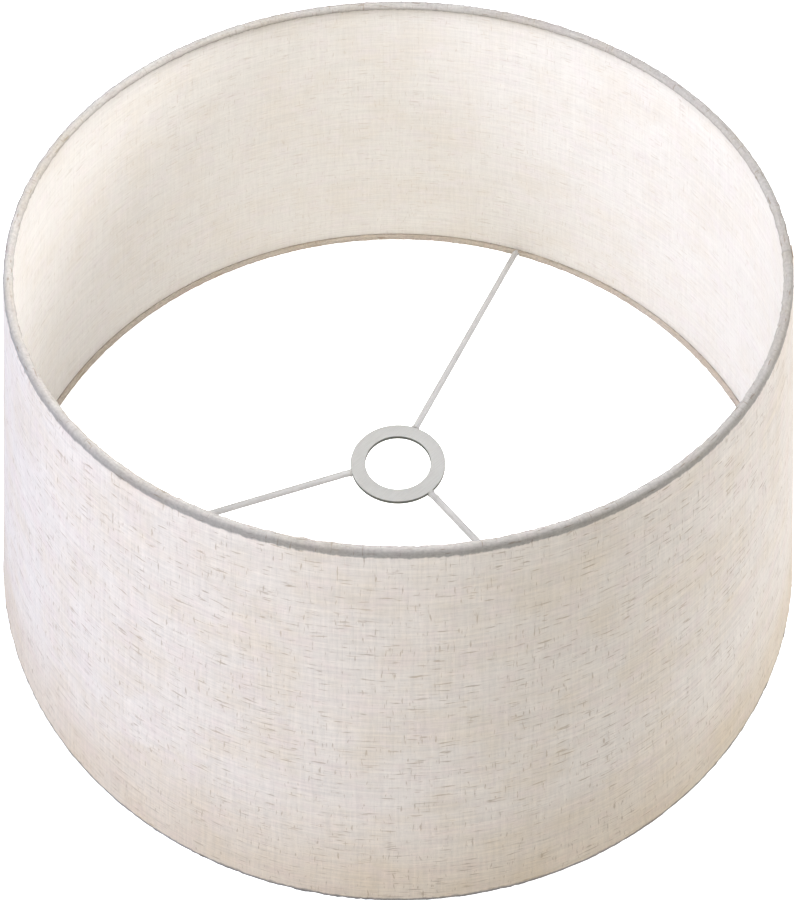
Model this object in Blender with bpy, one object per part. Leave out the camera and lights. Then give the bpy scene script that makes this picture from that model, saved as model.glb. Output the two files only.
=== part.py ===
# Tapered lamp shade: a linen-look cover on a thin liner, its edges rolled round two wire
# rings, carried by a flat fitter ring on three bent wire spokes.
# Metres, +Z up. The origin is on the shade's axis, on the plane that the bottom hem stands on.

import math

import bmesh
import bpy
from mathutils import Matrix, Vector

# Overall sizes, over the rolled hems.
BOTTOM_DIAMETER = 0.500
TOP_DIAMETER = 0.375
HEIGHT = 0.242

# Wire frame.
RING_WIRE = 0.0028
SPOKE_WIRE = 0.0040
SPOKE_AZIMUTHS = (68.4, 193.2, 312.3)  # degrees from +X towards +Y
SPOKE_BELOW_FACE = 0.0019  # from the fitter's top face down to a spoke's axis
SPOKE_LEVEL = 0.0064  # level stretch from the fitter's edge to the bend
SPOKE_BEND = 0.008  # radius of the bend, on the wire's axis
SPOKE_SEAT = 0.0029  # a spoke's axis passes this far above the bottom ring's axis

# Fitter ring, a flat washer that the lampholder clamps.
FITTER_OUTER = 0.0585
FITTER_BORE = 0.0405
FITTER_THICKNESS = 0.0026
FITTER_FACE_HEIGHT = 0.0453  # from the floor to its top face
FITTER_EDGE = 0.0002  # broken edges

# Welds.
COLLAR_WALL = 0.0005  # weld flash round a spoke, where it meets the fitter
COLLAR_LENGTH = 0.0014
COLLAR_TAPER = 0.6  # share of the wall that is left at the collar's outer end
BEAD_RADIUS = 0.0007  # bead under a spoke, against the bottom ring
BEAD_LENGTH = 0.0030

# Skin.
FABRIC = 0.00045
LINER = 0.0004
HOOK_TURN = math.radians(280)  # how far the fabric goes round a ring wire
HOOK_STEP = math.radians(30)
LINER_JOINT = 0.001  # slit between the liner's two ends
SPOKE_NOTCH_CLEARANCE = 0.0006  # each side of a spoke, in the bottom hem
SPOKE_NOTCH_DEPTH = 0.0015  # below the bottom ring's axis

# Lapped seam of the cover.
SEAM_AZIMUTH = math.radians(354)
HEM_JOINT = 0.0003  # gap between the cover's two ends in the hems
LAP = 0.011
LAP_RISE = 0.0035  # run in which the outer end climbs over the inner one
LAP_MARGIN = 0.005  # from where a hem leaves its ring to the cut-back for the lap
TAPE = 0.00015
TAPE_WIDTH = 0.008
TAPE_SETBACK = 0.003  # from the lap's ends to the tape's

CLEARANCE = 0.0003
STEPS = 60  # flats round the shade, shared by the cover, the liner and the rings
FLAT = 2 * math.pi / STEPS
FITTER_STEPS = 72
RING_SIDES = 8
SPOKE_SIDES = 12

# Section through the wall, at any azimuth. A hem's inner face clears the wire at mid-flat.
HOOK_INNER = (RING_WIRE / 2 + CLEARANCE) / math.cos(HOOK_STEP / 2)
HOOK_OUTER = HOOK_INNER + FABRIC
LOW_WIRE = Vector((BOTTOM_DIAMETER / 2 - HOOK_OUTER, HOOK_OUTER))
HIGH_WIRE = Vector((TOP_DIAMETER / 2 - HOOK_OUTER, HEIGHT - HOOK_OUTER))
WALL_RUN = (HIGH_WIRE - LOW_WIRE).length
UP_WALL = (HIGH_WIRE - LOW_WIRE).normalized()
OUT_OF_WALL = Vector((UP_WALL.y, -UP_WALL.x))
LINER_SETBACK = HOOK_OUTER + CLEARANCE  # from a ring wire's axis to the liner's edge
LAP_LIFT = FABRIC + TAPE + 2 * CLEARANCE


def clear_scene():
    for obj in list(bpy.data.objects):
        bpy.data.objects.remove(obj, do_unlink=True)


def material(name, colour, roughness, metallic=0.0):
    made = bpy.data.materials.new(name)
    made.use_nodes = True
    shader = made.node_tree.nodes["Principled BSDF"]
    shader.inputs["Base Color"].default_value = (*colour, 1.0)
    shader.inputs["Roughness"].default_value = roughness
    shader.inputs["Metallic"].default_value = metallic
    return made


def place(name, data, look):
    obj = bpy.data.objects.new(name, data)
    obj.data.materials.append(look)
    bpy.context.scene.collection.objects.link(obj)
    return obj


def smooth(mesh):
    mesh.shade_smooth()
    mesh.set_sharp_from_angle(angle=math.radians(35))


def finish(bm, name, look):
    bmesh.ops.recalc_face_normals(bm, faces=bm.faces)
    mesh = bpy.data.meshes.new(name)
    bm.to_mesh(mesh)
    bm.free()
    smooth(mesh)
    return place(name, mesh, look)


def flat_share(azimuth):
    """How far out a flat is at this azimuth, as a share of the radius at its corners."""
    into = (azimuth - SEAM_AZIMUTH) % FLAT
    return math.cos(FLAT / 2) / math.cos(into - FLAT / 2)


def at_azimuth(point, azimuth):
    """A point of the section (radius, height), turned to this azimuth on the flats."""
    radius = point[0] * flat_share(azimuth)
    return Vector((radius * math.cos(azimuth), radius * math.sin(azimuth), point[1]))


def on_wall(along, out):
    """A section point: along the wall from the bottom ring's axis, and out from the axes' line."""
    return LOW_WIRE + UP_WALL * along + OUT_OF_WALL * out


def stops(start, end):
    """The corners between two azimuths, in the order they are met, and the end."""
    low, high = sorted((start, end))
    first = math.ceil((low - SEAM_AZIMUTH) / FLAT)
    last = math.floor((high - SEAM_AZIMUTH) / FLAT)
    corners = [SEAM_AZIMUTH + FLAT * i for i in range(first, last + 1)]
    between = [a for a in corners if low + 1e-6 < a < high - 1e-6]
    return (between if end > start else between[::-1]) + [end]


def strip(bm, pairs, azimuth):
    """Faces of a thin section, from its pairs of outer and inner points."""
    rows = []
    for pair in pairs:
        rows.append([bm.verts.new(at_azimuth(point, azimuth)) for point in pair])
    return [bm.faces.new((a, c, d, b)) for (a, b), (c, d) in zip(rows, rows[1:])]


def sweep(bm, faces, start, end, lift=0.0):
    """Extrudes faces of a section round the axis, moved out by lift, and returns the new end."""
    here = start
    route = stops(start, end)
    for there in route:
        edges = list({edge for face in faces for edge in face.edges})
        made = bmesh.ops.extrude_face_region(bm, geom=faces + edges)["geom"]
        step = OUT_OF_WALL * (lift / len(route))
        for vert in [g for g in made if isinstance(g, bmesh.types.BMVert)]:
            radius = math.hypot(vert.co.x, vert.co.y) / flat_share(here)
            vert.co = at_azimuth((radius + step.x, vert.co.z + step.y), there)
        faces = [g for g in made if isinstance(g, bmesh.types.BMFace)]
        here = there
    return faces


def along_rim(length):
    """The angle that a length round the bottom rim takes."""
    return length / LOW_WIRE.x


def between_heights(faces, low, high):
    return [f for f in faces if low < f.calc_center_median().z < high]


def hook(centre, turn_sign):
    """Pairs round a ring wire, from the wall's tangent point to the fabric's free end."""
    start = math.atan2(OUT_OF_WALL.y, OUT_OF_WALL.x)
    end = start + turn_sign * HOOK_TURN
    low, high = sorted((start, end))
    grid = [HOOK_STEP * i for i in range(math.ceil(low / HOOK_STEP), math.floor(high / HOOK_STEP) + 1)]
    inner = [a for a in grid if low + HOOK_STEP / 4 < a < high - HOOK_STEP / 4]
    turns = [start] + (inner if turn_sign > 0 else inner[::-1]) + [end]
    rays = [Vector((math.cos(a), math.sin(a))) for a in turns]
    return [(centre + ray * HOOK_OUTER, centre + ray * HOOK_INNER) for ray in rays]


def fabric_cover(look):
    """One panel: its top and bottom edges roll round the rings, and one end laps the other."""
    cuts = (
        LAP_MARGIN,
        LAP_MARGIN + CLEARANCE,
        WALL_RUN - LAP_MARGIN - CLEARANCE,
        WALL_RUN - LAP_MARGIN,
    )
    wall = [(on_wall(s, HOOK_OUTER), on_wall(s, HOOK_INNER)) for s in cuts]
    pairs = hook(LOW_WIRE, -1)[::-1] + wall + hook(HIGH_WIRE, 1)
    lap_low, lap_high = on_wall(cuts[1], HOOK_INNER).y, on_wall(cuts[2], HOOK_OUTER).y
    cut_low, cut_high = on_wall(cuts[0], HOOK_INNER).y, on_wall(cuts[3], HOOK_OUTER).y

    bm = bmesh.new()
    rise, joint = along_rim(LAP_RISE), along_rim(HEM_JOINT) / 2
    wall_start = SEAM_AZIMUTH + rise
    wall_end = SEAM_AZIMUTH + 2 * math.pi - joint
    first = strip(bm, pairs, wall_start)
    last = sweep(bm, first, wall_start, wall_end)
    climb = between_heights(last, lap_low, lap_high)
    over = sweep(bm, climb, wall_end, wall_end + rise, LAP_LIFT)
    sweep(bm, over, wall_end + rise, wall_end + rise + along_rim(LAP))
    hems = [f for f in first if f not in between_heights(first, cut_low, cut_high)]
    sweep(bm, hems, wall_start, SEAM_AZIMUTH + joint)
    return finish(bm, "fabric_cover", look)


def spoke_notches(cover):
    """Opens the bottom hem where each spoke reaches the ring."""
    bm = bmesh.new()
    low = LOW_WIRE.y - SPOKE_NOTCH_DEPTH
    high = LOW_WIRE.y + HOOK_OUTER + 2 * CLEARANCE
    width = SPOKE_WIRE + 2 * SPOKE_NOTCH_CLEARANCE
    for degrees in SPOKE_AZIMUTHS:
        azimuth = math.radians(degrees)
        ring = LOW_WIRE.x * flat_share(azimuth)
        made = bmesh.ops.create_cube(bm, size=1.0)["verts"]
        inside, outside = ring - 2 * HOOK_OUTER, ring + CLEARANCE
        bmesh.ops.scale(bm, verts=made, vec=(outside - inside, width, high - low))
        bmesh.ops.translate(bm, verts=made, vec=((inside + outside) / 2, 0, (low + high) / 2))
        bmesh.ops.rotate(bm, verts=made, matrix=Matrix.Rotation(azimuth, 3, "Z"))
    mesh = bpy.data.meshes.new("spoke_notch_cutter")
    bm.to_mesh(mesh)
    bm.free()
    cutter = bpy.data.objects.new("spoke_notch_cutter", mesh)
    bpy.context.scene.collection.objects.link(cutter)
    cutter.hide_render = True
    cutter.display_type = "WIRE"
    notch = cover.modifiers.new("spoke_notches", "BOOLEAN")
    notch.operation = "DIFFERENCE"
    notch.solver = "EXACT"
    notch.object = cutter


def liner(look):
    """The stiff sheet behind the fabric, between the rings, its ends butted behind the lap."""
    outer = HOOK_INNER - CLEARANCE
    ends = (LINER_SETBACK, WALL_RUN - LINER_SETBACK)
    bm = bmesh.new()
    joint = along_rim(LINER_JOINT) / 2
    start, end = SEAM_AZIMUTH + joint, SEAM_AZIMUTH + 2 * math.pi - joint
    sweep(bm, strip(bm, [(on_wall(s, outer), on_wall(s, outer - LINER)) for s in ends], start), start, end)
    return finish(bm, "liner_sheet", look)


def seam_tape(look):
    """Double-sided tape between the lap and the end of the cover that it laps."""
    inner = HOOK_OUTER + CLEARANCE
    ends = (LAP_MARGIN + TAPE_SETBACK, WALL_RUN - LAP_MARGIN - TAPE_SETBACK)
    bm = bmesh.new()
    start = SEAM_AZIMUTH + along_rim(LAP_RISE + (LAP - TAPE_WIDTH) / 2)
    end = start + along_rim(TAPE_WIDTH)
    sweep(bm, strip(bm, [(on_wall(s, inner + TAPE), on_wall(s, inner)) for s in ends], start), start, end)
    return finish(bm, "seam_tape", look)


def wire(name, points, diameter, sides, closed, look):
    """A round wire along points, as a curve with a bevel."""
    curve = bpy.data.curves.new(name, "CURVE")
    curve.dimensions = "3D"
    curve.twist_mode = "Z_UP"
    curve.bevel_depth = diameter / 2
    curve.bevel_resolution = sides // 2 - 2
    curve.use_fill_caps = not closed
    spline = curve.splines.new("POLY")
    spline.points.add(len(points) - 1)
    for at, point in zip(spline.points, points):
        at.co = (*point, 1.0)
    spline.use_cyclic_u = closed
    spline.use_smooth = True
    return place(name, curve, look)


def ring(name, centre, look):
    corners = [at_azimuth(centre, SEAM_AZIMUTH + FLAT * i) for i in range(STEPS)]
    return wire(name, corners, RING_WIRE, RING_SIDES, True, look)


def turned(name, profile, steps, look):
    """A closed profile of (radius, height) points, turned about +Z."""
    mesh = bpy.data.meshes.new(name)
    corners = [(r, 0, z) for r, z in profile]
    mesh.from_pydata(corners, [(i, (i + 1) % len(corners)) for i in range(len(corners))], [])
    obj = place(name, mesh, look)
    screw = obj.modifiers.new("turn", "SCREW")
    screw.axis = "Z"
    screw.steps = screw.render_steps = steps
    screw.use_merge_vertices = True
    screw.merge_threshold = 0.00001
    screw.use_smooth_shade = True
    return obj


def fitter_ring(look):
    """The washer; its origin is in the middle of its top face."""
    outer, bore = FITTER_OUTER / 2, FITTER_BORE / 2
    profile = [(outer, 0), (outer, -FITTER_THICKNESS), (bore, -FITTER_THICKNESS), (bore, 0)]
    obj = turned("fitter_ring", profile, FITTER_STEPS, look)
    edges = obj.modifiers.new("broken_edges", "BEVEL")
    edges.width = FITTER_EDGE
    edges.segments = 1
    edges.limit_method = "ANGLE"
    edges.angle_limit = math.radians(60)
    return obj


class SpokePath:
    """A spoke's axis in its own vertical plane, as (radius, height)."""

    def __init__(self, azimuth):
        self.seat = Vector((LOW_WIRE.x * flat_share(azimuth), LOW_WIRE.y))
        self.start = Vector((FITTER_OUTER / 2 + CLEARANCE, FITTER_FACE_HEIGHT - SPOKE_BELOW_FACE))
        self.bend = Vector((FITTER_OUTER / 2 + SPOKE_LEVEL, self.start.y))
        run = self.seat - self.bend
        self.slope = math.atan2(-run.y, run.x) - math.asin(SPOKE_SEAT / run.length)
        self.down = Vector((math.cos(self.slope), -math.sin(self.slope)))
        self.up = Vector((math.sin(self.slope), math.cos(self.slope)))
        foot = self.seat + self.up * SPOKE_SEAT
        self.end = foot - self.down * self.stand_off()

    def stand_off(self):
        """How far short of the ring's axis the spoke ends, to clear the ring and the liner."""
        radius = SPOKE_WIRE / 2
        near = max(-(RING_WIRE / 2 + CLEARANCE), min(SPOKE_SEAT - radius, RING_WIRE / 2 + CLEARANCE))
        clear_of_ring = math.sqrt((RING_WIRE / 2 + CLEARANCE) ** 2 - near**2)
        liner_face = HOOK_INNER - 2 * CLEARANCE - LINER
        top_corner = self.up * (SPOKE_SEAT + radius)
        reach = (liner_face - top_corner.dot(OUT_OF_WALL)) / self.down.dot(OUT_OF_WALL)
        return max(clear_of_ring, -reach)

    def points(self):
        """The fitter's edge, the level stretch, the bend and the straight run to the ring."""
        back = SPOKE_BEND * math.tan(self.slope / 2)
        middle = self.bend + Vector((-back, -SPOKE_BEND))
        arc = []
        for i in range(5):
            turn = self.slope * i / 4
            arc.append(middle + SPOKE_BEND * Vector((math.sin(turn), math.cos(turn))))
        return [self.start] + arc + [self.end]

    def bead(self):
        """Centre of a bead that touches the ring's flank and the spoke's underside."""
        reach = RING_WIRE / 2 + CLEARANCE + BEAD_RADIUS
        rise = SPOKE_SEAT - SPOKE_WIRE / 2 - CLEARANCE - BEAD_RADIUS
        return self.seat + self.up * rise - self.down * math.sqrt(reach**2 - rise**2)


def spoke(number, path, look):
    points = [(p.x, 0, p.y) for p in path.points()]
    return wire(f"spoke_{number}", points, SPOKE_WIRE, SPOKE_SIDES, False, look)


def fitter_weld(number, path, look):
    """Weld flash: a tapered collar round the spoke's inner end, beside the fitter's edge."""
    inner = SPOKE_WIRE / 2 / math.cos(math.pi / SPOKE_SIDES) + CLEARANCE
    wide, narrow = inner + COLLAR_WALL, inner + COLLAR_WALL * COLLAR_TAPER
    profile = [(narrow, COLLAR_LENGTH), (wide, 0), (inner, 0), (inner, COLLAR_LENGTH)]
    obj = turned(f"fitter_weld_{number}", profile, 2 * SPOKE_SIDES, look)
    obj.location = (path.start.x + CLEARANCE, 0, path.start.y)
    obj.rotation_euler = (0, math.pi / 2, 0)
    return obj


def ring_weld(number, path, look):
    """Weld bead: a short bar with round ends, across the spoke."""
    at = path.bead()
    half = BEAD_LENGTH / 2
    points = [(at.x, half * share, at.y) for share in (-1, 0, 1)]
    return wire(f"ring_weld_{number}", points, 2 * BEAD_RADIUS, SPOKE_SIDES, False, look)


def spider(looks):
    """The fitter ring and its spokes, each spoke turned with its welds to its azimuth."""
    ring_at = bpy.data.objects.new("fitter_centre", None)
    bpy.context.scene.collection.objects.link(ring_at)
    ring_at.location = (0, 0, FITTER_FACE_HEIGHT)
    fitter_ring(looks["fitter"]).parent = ring_at
    for number, degrees in enumerate(SPOKE_AZIMUTHS, 1):
        azimuth = math.radians(degrees)
        path = SpokePath(azimuth)
        arm = bpy.data.objects.new(f"arm_{number}", None)
        bpy.context.scene.collection.objects.link(arm)
        arm.rotation_euler = (0, 0, azimuth)
        spoke(number, path, looks["wire"]).parent = arm
        fitter_weld(number, path, looks["weld"]).parent = arm
        ring_weld(number, path, looks["weld"]).parent = arm


def build():
    clear_scene()
    looks = {
        "fabric": material("linen_fabric", (0.80, 0.75, 0.68), 0.95),
        "liner": material("liner_film", (0.86, 0.83, 0.77), 0.55),
        "tape": material("tape", (0.75, 0.73, 0.68), 0.60),
        "frame": material("frame_wire", (0.62, 0.62, 0.61), 0.45),
        "wire": material("painted_wire", (0.62, 0.62, 0.60), 0.45),
        "fitter": material("painted_washer", (0.66, 0.66, 0.64), 0.40),
        "weld": material("weld", (0.60, 0.60, 0.58), 0.50),
    }
    spoke_notches(fabric_cover(looks["fabric"]))
    liner(looks["liner"])
    seam_tape(looks["tape"])
    ring("top_ring", HIGH_WIRE, looks["frame"])
    ring("bottom_ring", LOW_WIRE, looks["frame"])
    spider(looks)
    bpy.context.view_layer.update()


build()
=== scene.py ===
import math

import bmesh
import bpy
import numpy as np
from mathutils import Matrix, Vector


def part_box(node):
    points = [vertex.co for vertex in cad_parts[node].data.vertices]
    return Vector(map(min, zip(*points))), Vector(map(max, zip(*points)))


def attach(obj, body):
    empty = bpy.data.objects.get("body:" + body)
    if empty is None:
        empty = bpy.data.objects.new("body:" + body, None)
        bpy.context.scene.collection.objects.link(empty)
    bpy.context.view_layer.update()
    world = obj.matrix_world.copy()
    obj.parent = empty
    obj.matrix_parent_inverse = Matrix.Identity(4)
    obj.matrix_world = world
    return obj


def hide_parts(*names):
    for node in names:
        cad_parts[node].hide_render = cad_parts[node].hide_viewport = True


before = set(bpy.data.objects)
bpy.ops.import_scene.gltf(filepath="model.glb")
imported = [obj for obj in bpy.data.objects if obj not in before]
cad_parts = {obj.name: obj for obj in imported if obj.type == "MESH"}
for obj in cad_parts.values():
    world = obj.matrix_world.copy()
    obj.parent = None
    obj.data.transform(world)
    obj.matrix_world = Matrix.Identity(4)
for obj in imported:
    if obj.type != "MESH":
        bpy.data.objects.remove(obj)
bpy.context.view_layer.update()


def ringOf(node):
    # a ring wire's axis as (radius, height), and the wire's radius, from its box
    low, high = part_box(node)
    wire = (high.z - low.z) / 2
    return Vector((high.x - wire, (low.z + high.z) / 2)), wire


def azimuthOf(node):
    low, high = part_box(node)
    return math.atan2(low.y + high.y, low.x + high.x)


lowRing, ringWire = ringOf("bottom_ring")
highRing, _ = ringOf("top_ring")
rollRadius = lowRing.y  # outside of the rolled hem, which stands on the floor
wallRun = (highRing - lowRing).length
upWall = (highRing - lowRing).normalized()
outOfWall = Vector((upWall.y, -upWall.x))
spokeAzimuths = [azimuthOf(f"fitter_weld_{n}") for n in (1, 2, 3)]
seamAzimuth = math.radians(354)  # just behind the right-hand side


def clearPick():
    bpy.ops.object.select_all(action="DESELECT")
    bpy.context.view_layer.objects.active = None


def adopt(name):
    # names the primitive that was just added, and opens it with nothing picked
    obj = bpy.context.active_object
    obj.name = name
    obj.data.name = name
    bpy.ops.object.transform_apply(location=True, rotation=True, scale=True)
    bpy.ops.object.mode_set(mode="EDIT")
    bpy.ops.mesh.select_all(action="DESELECT")
    return obj


def pick(kind, test):
    # in edit mode, selects the verts or edges whose middle passes the test
    bpy.ops.mesh.select_mode(type=kind)
    bpy.ops.mesh.select_all(action="DESELECT")
    mesh = bpy.context.edit_object.data
    bm = bmesh.from_edit_mesh(mesh)
    for item in {"VERT": bm.verts, "EDGE": bm.edges}[kind]:
        points = [item.co] if kind == "VERT" else [v.co for v in item.verts]
        middle = sum(points, Vector()) / len(points)
        item.select_set(bool(test(middle, item)))
    bm.select_flush_mode()
    bmesh.update_edit_mesh(mesh)


def closeEdit(smoothAngle):
    bpy.ops.mesh.select_all(action="SELECT")
    bpy.ops.mesh.normals_make_consistent(inside=False)
    bpy.ops.object.mode_set(mode="OBJECT")
    bpy.ops.object.shade_smooth_by_angle(angle=math.radians(smoothAngle))


def applyAll(obj):
    for modifier in list(obj.modifiers):
        bpy.ops.object.modifier_apply(modifier=modifier.name)


def turnTo(obj, azimuth):
    obj.rotation_euler = (0, 0, azimuth)
    bpy.ops.object.transform_apply(location=True, rotation=True, scale=True)


def extrudeBy(move):
    bpy.ops.mesh.extrude_region_move(TRANSFORM_OT_translate={"value": tuple(move)})


def settle(obj, slotName, look, *nodes):
    # gives a finished piece its material, its body and the nodes that it stands for
    obj.data.materials.clear()
    obj.data.materials.append(look)
    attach(obj, "root")
    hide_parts(*nodes)
    clearPick()


class Wire:
    # a socket that adds Math nodes when it is used in an expression

    def __init__(self, look, socket):
        self.look = look
        self.socket = socket

    def join(self, operation, *others):
        sockets = dict(enumerate((self, *others)))
        return self.look.add("Math", {"operation": operation}, sockets)

    def __add__(self, other):
        return self.join("ADD", other)

    __radd__ = __add__

    def __mul__(self, other):
        return self.join("MULTIPLY", other)

    __rmul__ = __mul__

    def __sub__(self, other):
        return self.join("SUBTRACT", other)

    def __rsub__(self, other):
        return self.look.add("Math", {"operation": "SUBTRACT"}, {0: other, 1: self})

    def __truediv__(self, other):
        return self.join("DIVIDE", other)

    def step(self, low, high):
        # 0 below low, 1 above high, smooth between. Sockets 1 to 4 are from and to, min and max
        sockets = {"Value": self, 1: low, 2: high, 3: 0.0, 4: 1.0}
        return self.look.add("MapRange", {"interpolation_type": "SMOOTHSTEP"}, sockets)


class Look:
    # one material and its nodes

    def __init__(self, name):
        self.material = bpy.data.materials.new(name)
        self.material.use_nodes = True
        self.tree = self.material.node_tree
        self.shader = self.tree.nodes["Principled BSDF"]

    def add(self, kind, settings=None, sockets=None, out=0):
        node = self.tree.nodes.new("ShaderNode" + kind)
        for key, value in (settings or {}).items():
            setattr(node, key, value)
        self.feed(node, sockets or {})
        return Wire(self, node.outputs[out])

    def feed(self, node, sockets):
        for key, value in sockets.items():
            if isinstance(value, Wire):
                self.tree.links.new(value.socket, node.inputs[key])
            elif isinstance(value, tuple) and node.inputs[key].type == "RGBA":
                node.inputs[key].default_value = (*value, 1.0)
            else:
                node.inputs[key].default_value = value

    def colour(self, first, second, factor, blend="MIX"):
        settings = {"data_type": "RGBA", "blend_type": blend}
        return self.add("Mix", settings, {0: factor, 6: first, 7: second}, out=2)

    def vector(self, x, y, z=0.0):
        return self.add("CombineXYZ", None, {0: x, 1: y, 2: z})

    def grey(self, level):
        return self.vector(level, level, level)

    def objectPlace(self):
        return self.add("TexCoord", out=3)

    def noise(self, place, scale, detail=2.0, roughness=0.5, dims="3D"):
        sockets = {"Vector": place, "Scale": scale, "Detail": detail, "Roughness": roughness}
        return self.add("TexNoise", {"noise_dimensions": dims}, sockets)

    def flatNoise(self, x, y, detail=2.0, roughness=0.5):
        return self.noise(self.vector(x, y), 1.0, detail, roughness, dims="2D")

    def parts(self, place):
        return [self.add("SeparateXYZ", None, {0: place}, out=n) for n in range(3)]

    def bump(self, height, strength, distance):
        sockets = {"Height": height, "Strength": strength, "Distance": distance}
        self.feed(self.shader, {"Normal": self.add("Bump", None, sockets)})


studio = {
    "eye": (0.0, -0.4264, 0.6287),
    "aim": (0.0, 0.0, 0.058),
    "roll": 0.1,  # degrees
    "sensor": 36.0,
    "lens": 46.83,
    "nearClip": 0.01,
    "floor": 7.0,  # metres across
    "floorPaint": (0.9, 0.9, 0.9),
    "floorSeen": 1.02,  # the light table as it looks
    "floorGlow": 0.06,  # and the light it throws on the shade
    "sky": 0.25,
    "skyTint": (1.0, 0.985, 0.95),
    "lampsAim": (0.0, 0.0, 0.1),
    "key": {"place": (-1.75, -0.45, 1.35), "size": 0.9,
            "watts": 19.0, "tint": (0.93, 1.01, 1.38)},
    "rim": {"place": (1.9, 0.75, 1.0), "size": 0.9,
            "watts": 31.0, "tint": (1.0, 1.0, 1.05)},
    "top": {"place": (-0.2, -0.8, 0.9), "size": 0.5,
            "watts": 3.0, "tint": (1.0, 0.975, 0.90)},
    "inside": {"place": (-0.04, 0.0, 0.45), "size": 0.24,
               "watts": 0.94, "tint": (1.0, 1.005, 1.04)},
}


def lookFrom(obj, eye, aim, roll=0.0):
    obj.location = eye
    turn = (Vector(aim) - Vector(eye)).to_track_quat("-Z", "Y").to_matrix()
    obj.rotation_euler = (turn @ Matrix.Rotation(math.radians(roll), 3, "Z")).to_euler()


def makeCamera():
    camera = bpy.data.objects.new("camera", bpy.data.cameras.new("camera"))
    bpy.context.scene.collection.objects.link(camera)
    camera.data.sensor_width = studio["sensor"]
    camera.data.lens = studio["lens"]
    camera.data.clip_start = studio["nearClip"]
    lookFrom(camera, studio["eye"], studio["aim"], studio["roll"])
    bpy.context.scene.camera = camera


def makeLight(name):
    lamp = studio[name]
    data = bpy.data.lights.new(name, "AREA")
    data.shape = "DISK"
    data.size = lamp["size"]
    data.energy = lamp["watts"]
    data.color = lamp["tint"]
    light = bpy.data.objects.new(name, data)
    bpy.context.scene.collection.objects.link(light)
    light.visible_camera = False
    lookFrom(light, lamp["place"], studio["lampsAim"])


def makeStudio():
    # a light table that looks white but throws little light, a faint sky and four lamps
    clearPick()
    bpy.ops.mesh.primitive_plane_add(size=studio["floor"])
    floor = bpy.context.active_object
    floor.name = "floor"
    look = Look("lightTable")
    seen = look.add("LightPath", out=0)
    glow = look.colour((studio["floorGlow"],) * 3, (studio["floorSeen"],) * 3, seen)
    look.feed(look.shader, {"Base Color": studio["floorPaint"], "Roughness": 0.9,
                            "Emission Color": glow, "Emission Strength": 1.0})
    floor.data.materials.append(look.material)
    world = bpy.data.worlds.new("sky")
    world.use_nodes = True
    sky = world.node_tree.nodes["Background"]
    sky.inputs["Color"].default_value = (*studio["skyTint"], 1.0)
    sky.inputs["Strength"].default_value = studio["sky"]
    bpy.context.scene.world = world
    for name in ("key", "rim", "top", "inside"):
        makeLight(name)
    bpy.context.scene.view_settings.view_transform = "Standard"
    print("studio: camera, floor and lights are in place")


linen = {
    "thread": 0.00058,  # from one thread to the next, metres
    "around": {"seed": 11.0, "length": 0.0115, "rare": 0.715},
    "upright": {"seed": 57.0, "length": 0.0085, "rare": 0.735},
    "uprightTone": 0.75,
    "uprightSlubs": 0.85,
    "swayAlong": 22.0,  # how often the threads wander, per metre
    "swayAcross": 60.0,
    "threadSway": 3.4,
    "slubSway": 2.5,
    "slip": 37.0,  # shift of the tone from one thread to the next
    "fineAlong": 1.9,
    "fineAcross": 0.83,
    "longAlong": 0.22,
    "longAcross": 0.37,
    "clumps": 30.0,  # where slubs gather, per metre
    "clumping": 0.16,
    "slubEdge": 0.13,
    "pale": (0.90, 0.835, 0.75),
    "warm": (0.84, 0.73, 0.58),
    "rose": (0.89, 0.79, 0.72),
    "slub": (0.37, 0.26, 0.155),
    "tan": (0.46, 0.34, 0.20),
    "slubWide": 0.00135,
    "streaks": 0.27,
    "slubs": 0.56,
    "patches": 26.0,  # warm patches and rosy ones, per metre
    "blushes": 61.0,
    "lowTint": (0.90, 0.855, 0.775),  # browner towards the bottom hem
    "lowReach": 0.09,
    # painted shade: the top hem is darkened, as the opaque roll round the wire lets no light
    # through the cloth
    "topHemShade": (0.47, 0.48, 0.49),
    "topHemReach": 0.0012,  # down the wall
    "hemFade": 0.0012,
    # painted shade: the bottom hem is darkened, as the opaque roll round the wire lets no light
    # through the cloth
    "lowHemShade": (0.62, 0.625, 0.65),
    "lowHemEdge": (0.0008, 0.0018),
    "underHemShadow": (0.50, 0.56, 0.64),  # painted shadow: a grey-blue line on the outside of the bottom roll, along the bottom edge
    "underFrom": (-0.0055, -0.0040),
    "underTo": (-0.0002, 0.0014),
    "edgeEvery": 240.0,
    "edgeWander": 0.0022,
    "mottleAround": 500.0,
    "mottleUp": 900.0,
    "mottle": 0.5,
    "relief": 0.00010,
}


def threadSet(look, along, across, kind):
    # one family of parallel threads: its uneven tone, and the dark slubs spun into it
    seed = kind["seed"]
    length = kind["length"]
    sway = look.flatNoise(along * linen["swayAlong"], across * linen["swayAcross"])
    lanes = across / linen["thread"] + sway * linen["threadSway"]
    lane = lanes.join("FLOOR")
    slip = look.add("TexWhiteNoise", {"noise_dimensions": "1D"}, {"W": lane + seed})
    run = along / length + slip * linen["slip"]
    fine = look.flatNoise(run * linen["fineAlong"], lane * linen["fineAcross"])
    long = look.flatNoise(along / length * linen["longAlong"],
                          lane * linen["longAcross"] + seed, detail=3.0, roughness=0.6)
    drift = across / linen["slubWide"] + sway * linen["slubSway"] + seed
    knots = look.flatNoise(along / length + seed, drift, roughness=0.55)
    clump = look.noise(look.vector(along * linen["clumps"], across * linen["clumps"], seed), 1.0)
    thick = knots + clump * linen["clumping"]
    slub = thick.step(kind["rare"], kind["rare"] + linen["slubEdge"])
    profile = (lanes * math.pi).join("SINE").join("ABSOLUTE")
    return fine * 0.5 + long - 0.75, slub, profile, lane


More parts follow.
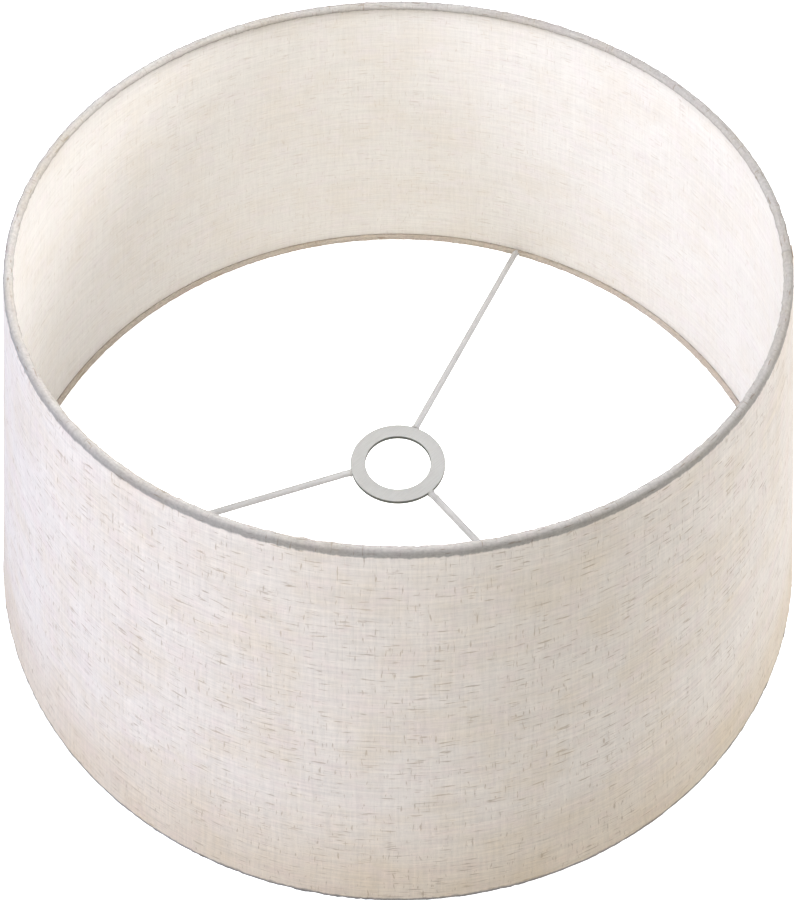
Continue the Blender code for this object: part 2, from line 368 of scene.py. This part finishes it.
def linenThreads(look):
    # tone around 0, slub mask and relief of the weave, on the cloth's own UV in metres
    place = look.add("UVMap", {"uv_map": "cloth"})
    u, v, _ = look.parts(place)
    toneA, slubA, profileA, laneA = threadSet(look, u, v, linen["around"])
    toneB, slubB, profileB, laneB = threadSet(look, v, u, linen["upright"])
    tone = toneA + toneB * linen["uprightTone"]
    slub = slubA.join("MAXIMUM", slubB * linen["uprightSlubs"])
    over = ((laneA + laneB) * 0.5).join("FRACT") * 2.0
    relief = profileA * over + profileB * (1.0 - over)
    return tone, slub, relief, place, u, v


def linenColour(look, place, tone, slub, shades, strength):
    # pale yarn in warmer and rosier patches, streaked thread by thread, with brown slubs
    patch = look.noise(place, linen["patches"], detail=4.0, roughness=0.6)
    blush = look.noise(place, linen["blushes"], detail=3.0, roughness=0.6)
    base = look.colour(shades["pale"], shades["warm"], patch.step(0.40, 0.68) * 0.5)
    base = look.colour(base, shades["rose"], blush.step(0.45, 0.70) * 0.7)
    grey = look.grey(1.0 + tone * linen["streaks"] * strength)
    base = look.colour(base, grey, 1.0, "MULTIPLY")
    spot = look.colour(linen["slub"], linen["tan"], patch.step(0.42, 0.56))
    return look.colour(base, spot, slub * linen["slubs"] * strength * strength)


def linenLook():
    look = Look("linenFabric")
    tone, slub, relief, place, u, v = linenThreads(look)
    base = linenColour(look, place, tone, slub, linen, 1.0)
    wander = linen["edgeWander"]
    edge = v + (look.flatNoise(u * linen["edgeEvery"], 0.0) * wander - wander / 2)
    hemTop = wallRun - linen["topHemReach"]
    # painted shade over the top hem
    topHemShade = edge.step(hemTop - linen["hemFade"], hemTop)
    # painted shade over the bottom hem
    lowHemShade = 1.0 - edge.step(*linen["lowHemEdge"])
    # painted shadow line along the bottom edge
    underHemShadow = v.step(*linen["underFrom"]) * (1.0 - v.step(*linen["underTo"]))
    low = 1.0 - v.step(0.0, linen["lowReach"])
    for mask, tint in ((low, "lowTint"), (topHemShade, "topHemShade"), (lowHemShade, "lowHemShade"),
                       (underHemShadow, "underHemShadow")):
        base = look.colour(base, linen[tint], mask, "MULTIPLY")
    mottle = look.flatNoise(u * linen["mottleAround"], v * linen["mottleUp"], 3.0, 0.6)
    grey = look.grey(mottle * linen["mottle"] + (1 - linen["mottle"] / 2))
    base = look.colour(base, grey, topHemShade.join("MAXIMUM", lowHemShade), "MULTIPLY")
    look.feed(look.shader, {"Base Color": base, "Roughness": 0.93, "Sheen Weight": 0.1,
                            "Sheen Roughness": 0.45, "Specular IOR Level": 0.15})
    look.bump(relief * 0.6 + slub, strength=0.4, distance=linen["relief"])
    return look.material


cover = {
    "columns": 640,  # round the whole shade
    "cloth": 0.00045,  # thickness
    "rollTurn": 295,  # degrees that the cloth goes round a ring
    "rollSteps": 15,
    "fineRows": (0.0, 0.0006, 0.0012, 0.0017, 0.0022, 0.0027, 0.0032, 0.0037, 0.0043, 0.005,
                 0.0065, 0.010),  # from a ring's level, along the wall
    "wallEnds": 0.018,  # from each ring to the wide rows of the wall
    "wallRows": 15,
    "lumps": 0.00013,  # unevenness of the rolled hems
    "hemReach": 0.0015,
    "hemFade": 0.0006,
    "groove": 0.00032,  # dip between a ring and the edge of the liner
    "grooveAt": 0.0023,  # from the ring's axis, along the wall
    "grooveWide": 0.0008,
    "wander": 0.0005,
    "wall": 0.00018,  # the wall's own unevenness
    "notch": 0.0050,  # gap in the bottom hem at a spoke
    "notchTurns": (95, 235),  # degrees round the ring
    "lap": 0.011,
    "lapSteps": 5,
    "lapRise": 0.0035,
    "riseSteps": 3,
    "lapMargin": 0.005,
    "lapLift": 0.0012,
    "hemJoint": 0.0003,
    "merge": 0.3,  # a column nearer to a marked one than this share of a spacing is left out
}
waves = {  # seed, and the fewest and most waves round the shade
    "lump": (5, 40, 150),
    "smallLump": (6, 120, 260),
    "finestLump": (7, 220, 340),
    "grooveAt": (8, 12, 90),
    "grooveDepth": (9, 15, 80),
    "wall": (10, 2, 9),
    "smallWall": (12, 9, 30),
}


def ripple(azimuth, seed, low, high, count=14):
    # a smooth random curve round the shade, about 1 high, that closes on itself
    rng = np.random.default_rng(seed)
    counts = rng.integers(low, high, count)
    phases = rng.uniform(0, 2 * math.pi, count)
    total = np.cos(np.multiply.outer(azimuth, counts) + phases).sum(axis=-1)
    return total / math.sqrt(count / 2)


def sectionAt(s):
    # a point of the round-edged section at a run s from the bottom ring, and its outward normal
    start = math.atan2(outOfWall.y, outOfWall.x)
    if s < 0:
        turn = start + s / rollRadius
        centre = lowRing
    elif s > wallRun:
        turn = start + (s - wallRun) / rollRadius
        centre = highRing
    else:
        return lowRing + upWall * s + outOfWall * rollRadius, outOfWall
    ray = Vector((math.cos(turn), math.sin(turn)))
    return centre + ray * rollRadius, ray


def coverRows():
    # runs along the section, from the free end of the bottom roll to that of the top roll
    roll = rollRadius * math.radians(cover["rollTurn"])
    turned = [roll * i / cover["rollSteps"] for i in range(cover["rollSteps"], 0, -1)]
    fine = list(cover["fineRows"])
    inner = np.linspace(cover["wallEnds"], wallRun - cover["wallEnds"], cover["wallRows"])
    low = [-s for s in turned] + fine
    high = [wallRun - s for s in reversed(fine)] + [wallRun + s for s in reversed(turned)]
    return low + list(inner) + high


def notchAzimuths():
    # of the spokes, counted from the seam
    return [(azimuth - seamAzimuth) % (2 * math.pi) for azimuth in spokeAzimuths]


def coverColumns():
    # azimuths round the shade, past a full turn for the lap, with edges at each notch
    full = 2 * math.pi
    reach = cover["lap"] / lowRing.x
    rise = cover["lapRise"] / lowRing.x
    joint = cover["hemJoint"] / 2 / lowRing.x
    half = cover["notch"] / 2 / lowRing.x
    whole = list(np.linspace(0, full, cover["columns"], endpoint=False)[1:])
    marks = [joint, rise, full - joint]
    for into in notchAzimuths():
        marks += [into - half, into + half]
    apart = cover["merge"] * (full / cover["columns"])
    kept = [a for a in whole if min(abs(a - m) for m in marks) > apart]
    steps = cover["riseSteps"]
    past = [full + rise * i / steps for i in range(1, steps + 1)]
    steps = cover["lapSteps"]
    past += [full + rise + reach * i / steps for i in range(1, steps + 1)]
    return sorted(kept + marks) + past, joint, rise


def coverDisplacement(rows, columns):
    # how far the cloth stands off its smooth section, for every row and column
    runs = np.array(rows)[:, None]
    turn = np.array(columns)[None, :]
    away = np.where(runs < wallRun / 2, runs, wallRun - runs)
    onHem = 1 / (1 + np.exp((away - cover["hemReach"]) / cover["hemFade"]))
    coarse = ripple(turn, *waves["lump"]) + ripple(turn + runs * 9, *waves["smallLump"])
    finest = ripple(turn - runs * 30, *waves["finestLump"])
    lumps = cover["lumps"] * onHem * (coarse * 0.6 + 0.5 * finest)
    grooveAt = cover["grooveAt"] + cover["wander"] * ripple(turn, *waves["grooveAt"])
    deep = cover["groove"] * (1.0 + 0.35 * ripple(turn, *waves["grooveDepth"]))
    groove = deep * np.exp(-(((away - grooveAt) / cover["grooveWide"]) ** 2))
    belly = np.sin(np.clip(runs / wallRun, 0, 1) * math.pi)
    large = ripple(turn + runs * 2, *waves["wall"])
    small = ripple(turn - runs * 5, *waves["smallWall"])
    return lumps - groove + cover["wall"] * belly * (large + 0.4 * small)


def panel(name, rows, columns, shift, holds):
    # a cloth grid round the axis: shift is the stand-off, holds says which cells have a face
    grid = []
    verts = []
    for i, run in enumerate(rows):
        point, normal = sectionAt(run)
        line = []
        for j, into in enumerate(columns):
            at = point + normal * shift[i, j]
            azimuth = seamAzimuth + into
            line.append(len(verts))
            verts.append((at.x * math.cos(azimuth), at.x * math.sin(azimuth), max(at.y, 0.0)))
        grid.append(line)
    faces = []
    spots = []
    around = (lowRing.x + highRing.x) / 2
    for i in range(len(rows) - 1):
        for j in range(len(columns) - 1):
            if not holds((rows[i] + rows[i + 1]) / 2, (columns[j] + columns[j + 1]) / 2):
                continue
            faces.append((grid[i][j], grid[i][j + 1], grid[i + 1][j + 1], grid[i + 1][j]))
            for a, b in ((i, j), (i, j + 1), (i + 1, j + 1), (i + 1, j)):
                spots += [columns[b] * around, rows[a]]
    mesh = bpy.data.meshes.new(name)
    mesh.from_pydata(verts, [], faces)
    mesh.uv_layers.new(name="cloth").data.foreach_set("uv", spots)
    mesh.update()
    obj = bpy.data.objects.new(name, mesh)
    bpy.context.scene.collection.objects.link(obj)
    clearPick()
    obj.select_set(True)
    bpy.context.view_layer.objects.active = obj
    bpy.ops.object.mode_set(mode="EDIT")
    bpy.ops.mesh.select_all(action="SELECT")
    bpy.ops.mesh.delete_loose()
    bpy.ops.object.mode_set(mode="OBJECT")
    return obj


def thicken(obj, thickness):
    wall = obj.modifiers.new("thickness", "SOLIDIFY")
    wall.thickness = thickness
    wall.offset = -1.0
    applyAll(obj)
    bpy.ops.object.shade_smooth_by_angle(angle=math.radians(50))


def makeCover(look):
    full = 2 * math.pi
    columns, joint, rise = coverColumns()
    rows = coverRows()
    climb = [min(max((c - full + joint) / rise, 0.0), 1.0) for c in columns]
    lift = np.array([cover["lapLift"] * c * c * (3 - 2 * c) for c in climb])
    shift = coverDisplacement(rows, columns) + lift
    half = cover["notch"] / 2 / lowRing.x
    notches = notchAzimuths()
    notchStart, notchEnd = cover["notchTurns"]

    def holds(run, into):
        onHem = run < cover["lapMargin"] or run > wallRun - cover["lapMargin"]
        if onHem and not joint < into < full - joint:
            return False
        if not onHem and into < rise:
            return False
        turn = -math.degrees(run / rollRadius)
        inNotch = any(abs(into - n) < half for n in notches)
        return not (inNotch and notchStart < turn < notchEnd)

    obj = panel("linenCover", rows, columns, shift, holds)
    thicken(obj, cover["cloth"])
    settle(obj, "linen_fabric", look, "fabric_cover")
    print("cover:", len(obj.data.polygons), "faces")


film = {
    "thick": 0.0004,
    "gap": 0.0003,
    "edge": 0.0022,  # from a ring's level to the liner's edge
    "slit": 0.001,
    "rows": 21,
    "pale": (0.82, 0.79, 0.735),
    "warm": (0.785, 0.725, 0.64),
    "rose": (0.82, 0.77, 0.735),
    "strength": 0.7,  # of the linen's pattern through the film
}


def linerLook():
    # stiff film with the linen showing through it
    look = Look("linerFilm")
    tone, slub, _, place, _, _ = linenThreads(look)
    base = linenColour(look, place, tone, slub, film, film["strength"])
    haze = look.noise(look.objectPlace(), 60.0)
    look.feed(look.shader, {"Base Color": base, "Roughness": haze * 0.12 + 0.42,
                            "Specular IOR Level": 0.3})
    look.bump(haze, strength=0.08, distance=0.0004)
    return look.material


def makeLiner(look):
    slit = film["slit"] / 2 / lowRing.x
    columns = list(np.linspace(slit, 2 * math.pi - slit, cover["columns"] // 2 + 1))
    rows = list(np.linspace(film["edge"], wallRun - film["edge"], film["rows"]))
    inset = cover["cloth"] + film["gap"]
    shift = np.full((len(rows), len(columns)), -inset)
    obj = panel("linerFilm", rows, columns, shift, lambda run, into: True)
    thicken(obj, film["thick"])
    settle(obj, "liner_film", look, "liner_sheet")
    print("liner:", len(obj.data.polygons), "faces")


fitterLow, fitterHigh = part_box("fitter_ring")
fitter = {
    "outer": fitterHigh.x,
    "bore": 0.02025,
    "face": fitterHigh.z,
    "thick": fitterHigh.z - fitterLow.z,
    "edge": 0.0002,
    "sides": 160,
    "paint": (0.57, 0.575, 0.565),
    "paintLow": (0.50, 0.505, 0.495),
    "worn": (0.40, 0.40, 0.38),
    "edgeShade": (0.15, 0.16, 0.14),  # painted shade on the upright edge faces
    "wearFrom": 0.0002,
    "wearTo": 0.0009,
}


def washerLook():
    # painted face with fine brushing, painted shade on the upright edges, and paint worn thin
    # beside them
    look = Look("fitterPaint")
    place = look.objectPlace()
    x, y, _ = look.parts(place)
    brushed = look.flatNoise((x + y) * 60.0, (y - x) * 2600.0, detail=3.0)
    patch = look.noise(place, 120.0, detail=3.0)
    radius = look.add("VectorMath", {"operation": "LENGTH"}, {0: look.vector(x, y)}, out=1)
    up = look.parts(look.add("NewGeometry", out=1))[2].join("ABSOLUTE")
    # painted shade: faces that stand upright are darkened and made partly metallic
    edgeShade = 1.0 - up.step(0.5, 0.9)
    near, far = fitter["wearFrom"], fitter["wearTo"]
    nearEdge = radius.step(fitter["outer"] - far, fitter["outer"] - near)
    nearBore = 1.0 - radius.step(fitter["bore"] + near, fitter["bore"] + far)
    worn = (nearEdge + nearBore) * patch.step(0.45, 0.6) * 0.45
    base = look.colour(fitter["paint"], fitter["paintLow"], brushed.step(0.35, 0.7) * 0.8)
    base = look.colour(base, fitter["worn"], worn)
    base = look.colour(base, fitter["edgeShade"], edgeShade)
    look.feed(look.shader, {"Base Color": base, "Metallic": edgeShade * 0.5,
                            "Roughness": brushed * 0.12 + 0.5, "Specular IOR Level": 0.3})
    look.bump(brushed, strength=0.05, distance=0.0001)
    return look.material


def makeWasher(look):
    clearPick()
    bpy.ops.mesh.primitive_circle_add(vertices=fitter["sides"], radius=fitter["outer"],
                                      fill_type="NGON", location=(0, 0, fitter["face"]))
    obj = adopt("fitterWasher")
    bpy.ops.mesh.select_all(action="SELECT")
    bpy.ops.mesh.inset(thickness=fitter["outer"] - fitter["bore"])
    bpy.ops.mesh.delete(type="FACE")
    bpy.ops.mesh.select_all(action="SELECT")
    extrudeBy((0, 0, -fitter["thick"]))
    bpy.ops.mesh.select_all(action="SELECT")
    bpy.ops.mesh.normals_make_consistent(inside=False)
    rims = (fitter["outer"], fitter["bore"])
    pick("EDGE", lambda middle, edge: abs((edge.verts[0].co - edge.verts[1].co).z) < 1e-6
         and min(abs(middle.xy.length - r) for r in rims) < 2e-4)
    bpy.ops.mesh.bevel(offset=fitter["edge"], segments=3, profile=0.5)
    closeEdit(30)
    settle(obj, "fitter_paint", look, "fitter_ring")


spoke = {
    "wire": 0.00213,  # radius
    "sides": 24,
    "belowFace": 0.0019,
    "level": 0.0064,
    "bend": 0.008,
    "bendSteps": 6,
    "straightSteps": 8,
    "seat": 0.0029,  # its axis passes this far above the ring's
    "clear": 0.0003,
    "endShort": 0.0008,  # from the ring's axis back to the tip
    "tip": 0.8,  # length of the rounded tip, in wire radii
    "tipTurns": (22, 44, 62, 76),
    "dimple": 0.0004,
    "dimpleWide": 0.6,
    "paint": (0.60, 0.60, 0.60),
    "paintLow": (0.52, 0.52, 0.52),
    "speck": (0.36, 0.34, 0.31),
}


def wireLook():
    look = Look("frameWire")
    place = look.objectPlace()
    grain = look.noise(place, 900.0)
    patch = look.noise(place, 90.0, detail=3.0)
    base = look.colour(spoke["paint"], spoke["paintLow"], patch.step(0.4, 0.75) * 0.6)
    base = look.colour(base, spoke["speck"], grain.step(0.66, 0.74) * 0.25)
    look.feed(look.shader, {"Base Color": base, "Roughness": patch * 0.25 + 0.32,
                            "Coat Weight": 0.15, "Coat Roughness": 0.3})
    look.bump(grain, strength=0.15, distance=0.0001)
    return look.material


def spokePath():
    # start, bend centre, slope and end of a spoke's axis, in its own upright plane
    start = Vector((fitter["outer"] + spoke["clear"], 0, fitter["face"] - spoke["belowFace"]))
    bendAt = Vector((fitter["outer"] + spoke["level"], 0, start.z))
    ringAt = Vector((lowRing.x, 0, lowRing.y))
    run = ringAt - bendAt
    slope = math.atan2(-run.z, run.x) - math.asin(spoke["seat"] / run.length)
    back = spoke["bend"] * math.tan(slope / 2)
    centre = Vector((bendAt.x - back, 0, bendAt.z - spoke["bend"]))
    down = Vector((math.cos(slope), 0, -math.sin(slope)))
    up = Vector((math.sin(slope), 0, math.cos(slope)))
    end = ringAt + up * spoke["seat"] - down * spoke["endShort"]
    return start, centre, slope, down, end


def makeSpoke(number, azimuth, look):
    start, centre, slope, down, end = spokePath()
    clearPick()
    bpy.ops.mesh.primitive_circle_add(vertices=spoke["sides"], radius=spoke["wire"],
                                      location=start, rotation=(0, math.pi / 2, 0))
    obj = adopt(f"spokeWire{number}")
    bpy.ops.mesh.select_all(action="SELECT")
    bpy.ops.mesh.edge_face_add()
    extrudeBy((centre.x - start.x, 0, 0))
    bpy.ops.mesh.spin(steps=spoke["bendSteps"], angle=slope, center=centre, axis=(0, 1, 0))
    here = centre + spoke["bend"] * Vector((math.sin(slope), 0, math.cos(slope)))
    tip = spoke["wire"] * spoke["tip"]
    straight = (end - here).dot(down) - tip
    for _ in range(spoke["straightSteps"]):
        extrudeBy(down * (straight / spoke["straightSteps"]))
    here = here + down * straight
    reach = 0.0
    wide = 1.0
    for turn in spoke["tipTurns"]:
        onward = tip * math.sin(math.radians(turn))
        narrow = math.cos(math.radians(turn))
        extrudeBy(down * (onward - reach))
        bpy.ops.transform.resize(value=(narrow / wide,) * 3, center_override=here + down * onward)
        reach = onward
        wide = narrow
    extrudeBy(-down * spoke["dimple"])
    bpy.ops.transform.resize(value=(spoke["dimpleWide"],) * 3, center_override=here + down * reach)
    closeEdit(50)
    turnTo(obj, azimuth)
    settle(obj, "frame_wire", look, f"spoke_{number}")


flash = {
    "wire": 0.0005,
    "inset": 0.00005,
    "onSpoke": 0.0002,
    "rough": 0.00022,
    "bulge": (1.5, 1.1, 1.12),  # of the quarter above and to one side
    "seed": 40,
}


def weldLook():
    look = Look("weldMetal")
    place = look.objectPlace()
    lumps = look.noise(place, 700.0, detail=3.0)
    scorch = look.noise(place, 260.0).step(0.5, 0.68)
    base = look.colour((0.52, 0.52, 0.505), (0.30, 0.28, 0.25), scorch * 0.45)
    look.feed(look.shader, {"Base Color": base, "Metallic": 0.1, "Roughness": lumps * 0.3 + 0.3})
    look.bump(lumps, strength=0.4, distance=0.0002)
    return look.material


def makeFitterWeld(number, azimuth, look):
    # a lumpy fillet of weld where the spoke butts the washer's edge
    start = spokePath()[0]
    clearPick()
    bpy.ops.mesh.primitive_torus_add(major_segments=24, minor_segments=8,
                                     major_radius=spoke["wire"] - flash["inset"],
                                     minor_radius=flash["wire"],
                                     location=(start.x + flash["onSpoke"], 0, start.z),
                                     rotation=(0, math.pi / 2, 0))
    obj = adopt(f"weldFlash{number}")
    bpy.ops.mesh.select_all(action="SELECT")
    bpy.ops.transform.vertex_random(offset=flash["rough"], uniform=0.2, normal=0.8,
                                    seed=flash["seed"] + number)
    pick("VERT", lambda middle, vert: middle.z > start.z and middle.y > 0)
    bpy.ops.transform.resize(value=flash["bulge"], center_override=start)
    closeEdit(80)
    smooth = obj.modifiers.new("smooth", "SUBSURF")
    smooth.levels = smooth.render_levels = 1
    applyAll(obj)
    turnTo(obj, azimuth)
    settle(obj, "weld_metal", look, f"fitter_weld_{number}")


bead = {"radius": 0.0008, "stretch": (0.9, 2.1, 0.85), "rough": 0.00012, "seed": 60}


def makeRingWeld(number, azimuth, look):
    # a short bead across the spoke's underside, against the bottom ring
    low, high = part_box(f"ring_weld_{number}")
    centre = (low + high) / 2
    clearPick()
    bpy.ops.mesh.primitive_uv_sphere_add(segments=16, ring_count=10, radius=bead["radius"],
                                         location=(centre.xy.length, 0, centre.z),
                                         scale=bead["stretch"])
    obj = adopt(f"weldBead{number}")
    bpy.ops.mesh.select_all(action="SELECT")
    bpy.ops.transform.vertex_random(offset=bead["rough"], uniform=0.3, normal=0.7,
                                    seed=bead["seed"] + number)
    closeEdit(80)
    turnTo(obj, azimuth)
    settle(obj, "weld_metal", look, f"ring_weld_{number}")


ring = {
    "sides": 240,
    "wireSides": 14,
    "weldReach": 0.0035,
    "weldSwell": 1.1,
    "lowWeldAt": 150,  # degrees
    "highWeldAt": 120,
}


def makeRing(name, node, axis, weldAt, look):
    # ring wire, with the swelling where its ends are butt-welded
    clearPick()
    bpy.ops.mesh.primitive_torus_add(major_segments=ring["sides"],
                                     minor_segments=ring["wireSides"],
                                     major_radius=axis.x, minor_radius=ringWire,
                                     location=(0, 0, axis.y))
    obj = adopt(name)
    turn = math.radians(weldAt)
    weldSpot = Vector((axis.x * math.cos(turn), axis.x * math.sin(turn), axis.y))
    pick("VERT", lambda middle, vert: (middle - weldSpot).length < ring["weldReach"])
    bpy.ops.transform.resize(value=(1.0, 1.0, ring["weldSwell"]), center_override=weldSpot)
    closeEdit(60)
    settle(obj, "frame_wire", look, node)


def makeFrame():
    wire = wireLook()
    weld = weldLook()
    makeWasher(washerLook())
    makeRing("bottomWire", "bottom_ring", lowRing, ring["lowWeldAt"], wire)
    makeRing("topWire", "top_ring", highRing, ring["highWeldAt"], wire)
    for number, azimuth in enumerate(spokeAzimuths, 1):
        makeSpoke(number, azimuth, wire)
        makeFitterWeld(number, azimuth, weld)
        makeRingWeld(number, azimuth, weld)
    print("frame: washer, spokes, rings and welds are made")


def tapeLook():
    look = Look("seamTape")
    fibre = look.noise(look.objectPlace(), 1200.0, detail=3.0)
    base = look.colour((0.74, 0.70, 0.62), (0.62, 0.57, 0.48), fibre.step(0.4, 0.7))
    look.feed(look.shader, {"Base Color": base, "Roughness": fibre * 0.2 + 0.5})
    look.bump(fibre, strength=0.2, distance=0.0001)
    return look.material


makeCamera()
makeStudio()
makeFrame()
makeCover(linenLook())
makeLiner(linerLook())
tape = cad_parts["seam_tape"]
tape.data.materials.clear()
tape.data.materials.append(tapeLook())
